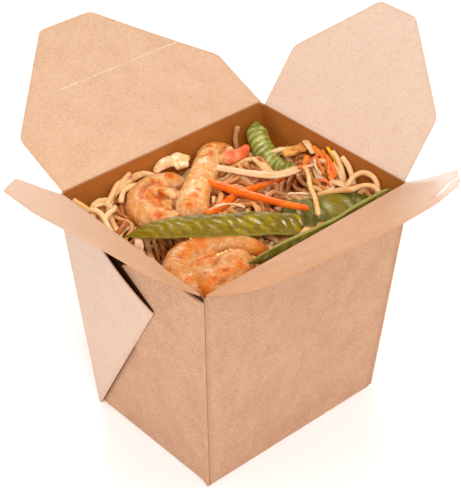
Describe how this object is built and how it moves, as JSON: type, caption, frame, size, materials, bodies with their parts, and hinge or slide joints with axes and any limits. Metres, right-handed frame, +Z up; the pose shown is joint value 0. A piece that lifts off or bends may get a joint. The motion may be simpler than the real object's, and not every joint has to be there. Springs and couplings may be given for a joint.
{
  "type": "noodle takeaway box",
  "caption": "Open folded paperboard takeaway box with hinged closing flaps, filled with fried noodles, shrimps, snow peas and carrot sticks.",
  "frame": {"origin": "middle of the underside of the base", "axes": "+Z up, X along the long walls, Y along the short walls, with the long flap that has the locking slits on the -Y side"},
  "size_m": [0.183, 0.2041, 0.1503],
  "materials": {
    "kraft_board": "matt, fine paper fibre",
    "noodle": "moist satin",
    "shrimp": "moist satin",
    "pod": "glossy",
    "carrot": "moist satin",
    "onion": "moist satin",
    "omelette": "satin"
  },
  "bodies": {
    "box": {"carton": "kraft_board", "noodles": "noodle", "shrimp_front": "shrimp", "shrimp_back": "shrimp", "shrimp_left": "shrimp", "snow_pea_long": "pod", "snow_pea_right": "pod", "snow_pea_wall": "pod", "snow_pea_corner": "pod", "carrot_stick_long": "carrot", "carrot_stick_short": "carrot", "carrot_shred_1": "carrot", "carrot_shred_2": "carrot", "carrot_shred_3": "carrot", "onion_strip": "onion", "onion_shred_1": "onion", "onion_shred_2": "onion", "onion_shred_3": "onion", "bean_sprout_right": "onion", "bean_sprout_left": "onion", "omelette_strip": "omelette", "omelette_curl": "omelette"},
    "back_flap": {"flap_back": "kraft_board"},
    "front_flap": {"flap_front": "kraft_board"},
    "left_flap": {"flap_left": "kraft_board"},
    "right_flap": {"flap_right": "kraft_board"}
  },
  "joints": [
    {"name": "back_crease", "type": "hinge", "parent": "box", "child": "back_flap", "pos_m": [0, 0.04175, 0.10385], "axis": [1, 0, 0], "range_deg": [-40.4, 154.1]},
    {"name": "front_crease", "type": "hinge", "parent": "box", "child": "front_flap", "pos_m": [0, -0.04175, 0.10385], "axis": [-1, 0, 0], "range_deg": [-52, 136]},
    {"name": "left_crease", "type": "hinge", "parent": "box", "child": "left_flap", "pos_m": [-0.05175, 0, 0.10315], "axis": [0, 1, 0], "range_deg": [-54.5, 142.5]},
    {"name": "right_crease", "type": "hinge", "parent": "box", "child": "right_flap", "pos_m": [0.05175, 0, 0.10315], "axis": [0, -1, 0], "range_deg": [-68.8, 126.7]}
  ]
}
